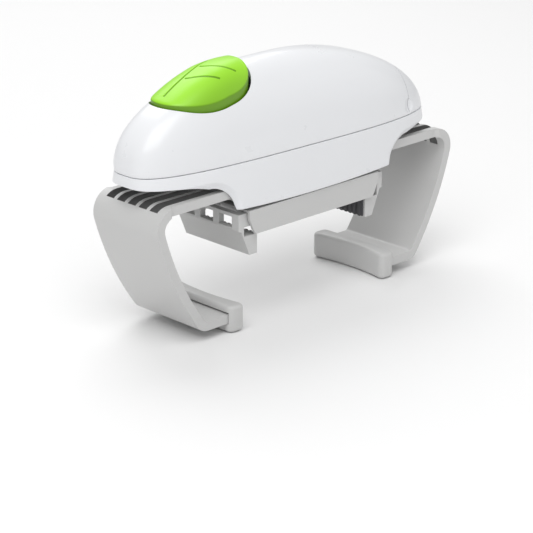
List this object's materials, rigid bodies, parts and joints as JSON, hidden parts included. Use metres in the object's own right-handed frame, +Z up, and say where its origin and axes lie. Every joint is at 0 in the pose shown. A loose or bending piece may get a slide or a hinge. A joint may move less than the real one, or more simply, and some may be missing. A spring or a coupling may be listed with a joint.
{
  "type": "electric jar opener",
  "caption": "Battery jar opener: a domed housing with a leaf-shaped start button, two slotted hooked arms that grip the jar and a turning tray with jaws that grip its lid.",
  "frame": {"origin": "on the surface that the jar pads stand on, below the middle of the drive's axis and of the whole object", "axes": "+X along the body towards the battery cover, +Y across it, +Z up along the drive's axis"},
  "size_m": [0.1994, 0.0524, 0.1263],
  "materials": {
    "white_gloss_plastic": "glossy moulded",
    "grey_satin_plastic": "fine satin moulded",
    "lime_button_plastic": "smooth translucent look",
    "black_rubber": "ribbed",
    "steel": "bright",
    "nylon": "natural moulded",
    "dark_plastic": "moulded",
    "board_laminate": "solder mask",
    "cell_wrap": "printed wrap, no print",
    "wire_insulation": "smooth"
  },
  "bodies": {
    "root": {"upper_housing": "white_gloss_plastic", "lower_housing": "white_gloss_plastic", "button_bezel": "dark_plastic", "button_spring": "steel", "start_switch": "dark_plastic", "circuit_board": "board_laminate", "board_posts": "grey_satin_plastic", "battery_tray": "dark_plastic", "battery_cells": "cell_wrap", "contact_springs": "steel", "contact_plates": "steel", "frame_plate": "grey_satin_plastic", "floor_plate": "grey_satin_plastic", "frame_screws": "steel", "housing_screws": "steel", "thrust_washer": "nylon", "motor": "steel", "motor_screws": "steel", "intermediate_axle": "steel", "sun_axle": "steel", "planet_carrier": "steel", "planet_pins": "steel", "wires": "wire_insulation"},
    "start_button": {"start_button": "lime_button_plastic"},
    "battery_cover": {"battery_cover": "white_gloss_plastic"},
    "jar_arm_left": {"jar_arm_left": "grey_satin_plastic", "jar_pad_left": "grey_satin_plastic"},
    "jar_arm_right": {"jar_arm_right": "grey_satin_plastic", "jar_pad_right": "grey_satin_plastic"},
    "ring_gear": {"ring_gear": "nylon", "arm_pinion": "nylon"},
    "sun_gear": {"sun_gear": "nylon"},
    "planet_gear_1": {"planet_gear_1": "nylon"},
    "planet_gear_2": {"planet_gear_2": "nylon"},
    "planet_gear_3": {"planet_gear_3": "nylon"},
    "intermediate_gear": {"intermediate_gear": "nylon"},
    "motor_pinion": {"motor_pinion": "nylon"},
    "turning_tray": {"turning_tray": "grey_satin_plastic", "tray_ring": "nylon", "tray_cover": "grey_satin_plastic", "cover_screws": "steel"},
    "lid_jaw_left": {"lid_jaw_left": "grey_satin_plastic", "lid_strip_left": "black_rubber", "jaw_rod_left": "steel"},
    "lid_jaw_right": {"lid_jaw_right": "grey_satin_plastic", "lid_strip_right": "black_rubber", "jaw_rod_right": "steel"},
    "lid_pinion": {"lid_pinion": "nylon"}
  },
  "joints": [
    {"name": "jar_arm_left_slide", "type": "slide", "parent": "root", "child": "jar_arm_left", "axis": [1, 0, 0], "range_m": [0, 0.03]},
    {"name": "jar_arm_right_slide", "type": "slide", "parent": "root", "child": "jar_arm_right", "axis": [-1, 0, 0], "range_m": [0, 0.03]},
    {"name": "ring_gear_spin", "type": "hinge", "parent": "root", "child": "ring_gear", "pos_m": [0, 0, 0.0735], "axis": [0, 0, 1], "range_deg": [-246, 0]},
    {"name": "sun_gear_spin", "type": "hinge", "parent": "root", "child": "sun_gear", "pos_m": [0, 0, 0.0765], "axis": [0, 0, 1], "range_deg": [0, 737]},
    {"name": "planet_gear_1_spin", "type": "hinge", "parent": "root", "child": "planet_gear_1", "pos_m": [0.0096, 0, 0.0745], "axis": [0, 0, 1], "range_deg": [-737, 0]},
    {"name": "planet_gear_2_spin", "type": "hinge", "parent": "root", "child": "planet_gear_2", "pos_m": [-0.0048, 0.00831, 0.0745], "axis": [0, 0, 1], "range_deg": [-737, 0]},
    {"name": "planet_gear_3_spin", "type": "hinge", "parent": "root", "child": "planet_gear_3", "pos_m": [-0.0048, -0.00831, 0.0745], "axis": [0, 0, 1], "range_deg": [-737, 0]},
    {"name": "intermediate_gear_spin", "type": "hinge", "parent": "root", "child": "intermediate_gear", "pos_m": [-0.0184, 0, 0.079], "axis": [0, 0, 1], "range_deg": [-2653, 0]},
    {"name": "motor_pinion_spin", "type": "hinge", "parent": "root", "child": "motor_pinion", "pos_m": [-0.0309, 0, 0.08], "axis": [0, 0, 1], "range_deg": [0, 10609]},
    {"name": "turning_tray_turn", "type": "hinge", "parent": "root", "child": "turning_tray", "pos_m": [0, 0, 0.06], "axis": [0, 0, 1], "continuous": true},
    {"name": "lid_jaw_left_slide", "type": "slide", "parent": "turning_tray", "child": "lid_jaw_left", "axis": [1, 0, 0], "range_m": [-0.008, 0.02]},
    {"name": "lid_jaw_right_slide", "type": "slide", "parent": "turning_tray", "child": "lid_jaw_right", "axis": [-1, 0, 0], "range_m": [-0.008, 0.02]},
    {"name": "lid_pinion_spin", "type": "hinge", "parent": "turning_tray", "child": "lid_pinion", "pos_m": [0, 0, 0.052], "axis": [0, 0, 1], "range_deg": [-120, 48]},
    {"name": "start_button_press", "type": "slide", "parent": "root", "child": "start_button", "axis": [0, 0, -1], "range_m": [0, 0.002], "stiffness_N_per_m": 500, "springref_m": -0.001, "deforming": ["button_spring"]},
    {"name": "battery_cover_slide", "type": "slide", "parent": "root", "child": "battery_cover", "axis": [1, 0, 0], "range_m": [0, 0.03]}
  ],
  "couplings": [
    {"joint": "jar_arm_right_slide", "follows": "jar_arm_left_slide", "ratio": 1},
    {"joint": "ring_gear_spin", "follows": "jar_arm_left_slide", "rad_per_m": -142.86},
    {"joint": "sun_gear_spin", "follows": "jar_arm_left_slide", "rad_per_m": 428.57},
    {"joint": "planet_gear_1_spin", "follows": "jar_arm_left_slide", "rad_per_m": -428.57},
    {"joint": "planet_gear_2_spin", "follows": "jar_arm_left_slide", "rad_per_m": -428.57},
    {"joint": "planet_gear_3_spin", "follows": "jar_arm_left_slide", "rad_per_m": -428.57},
    {"joint": "intermediate_gear_spin", "follows": "jar_arm_left_slide", "rad_per_m": -1542.9},
    {"joint": "motor_pinion_spin", "follows": "jar_arm_left_slide", "rad_per_m": 6171.4},
    {"joint": "lid_jaw_right_slide", "follows": "lid_jaw_left_slide", "ratio": 1},
    {"joint": "lid_pinion_spin", "follows": "lid_jaw_left_slide", "rad_per_m": -104.17}
  ]
}
